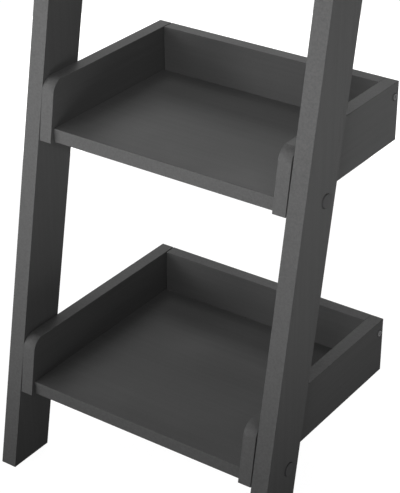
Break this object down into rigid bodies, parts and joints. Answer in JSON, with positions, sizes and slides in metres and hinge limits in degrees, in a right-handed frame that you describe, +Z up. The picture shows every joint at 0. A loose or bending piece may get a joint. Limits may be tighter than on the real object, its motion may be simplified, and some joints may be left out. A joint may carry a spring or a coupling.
{
  "type": "ladder shelf",
  "caption": "Tall narrow shelf that leans on a wall: two slanted rails carry open-fronted box trays, each shallower than the one below.",
  "frame": {"origin": "on the floor, in the plane of the wall that the shelf leans on, halfway between the two rails", "axes": "+X to the right of a person who faces the shelf, +Y towards the wall, +Z up"},
  "size_m": [0.338, 0.2795, 1.2],
  "materials": {
    "grey_board": "satin dark grey lacquer on fibreboard",
    "cap_plastic": "matte",
    "zinc_steel": "zinc plated",
    "beech_dowel": "bare"
  },
  "bodies": {
    "root": {"left_rail": "grey_board", "right_rail": "grey_board", "left_wall_bracket": "zinc_steel", "right_wall_bracket": "zinc_steel", "bracket_screws": "zinc_steel", "tray1_left_side": "grey_board", "tray1_right_side": "grey_board", "tray1_shelf_board": "grey_board", "tray1_back_panel": "grey_board", "tray1_rail_screws": "zinc_steel", "tray1_rail_screw_caps": "cap_plastic", "tray1_back_screws": "zinc_steel", "tray1_dowels": "beech_dowel", "tray2_left_side": "grey_board", "tray2_right_side": "grey_board", "tray2_shelf_board": "grey_board", "tray2_back_panel": "grey_board", "tray2_rail_screws": "zinc_steel", "tray2_rail_screw_caps": "cap_plastic", "tray2_back_screws": "zinc_steel", "tray2_dowels": "beech_dowel", "tray3_left_side": "grey_board", "tray3_right_side": "grey_board", "tray3_shelf_board": "grey_board", "tray3_back_panel": "grey_board", "tray3_rail_screws": "zinc_steel", "tray3_rail_screw_caps": "cap_plastic", "tray3_back_screws": "zinc_steel", "tray3_dowels": "beech_dowel", "tray4_left_side": "grey_board", "tray4_right_side": "grey_board", "tray4_shelf_board": "grey_board", "tray4_back_panel": "grey_board", "tray4_rail_screws": "zinc_steel", "tray4_rail_screw_caps": "cap_plastic", "tray4_back_screws": "zinc_steel", "tray4_dowels": "beech_dowel"}
  },
  "joints": []
}
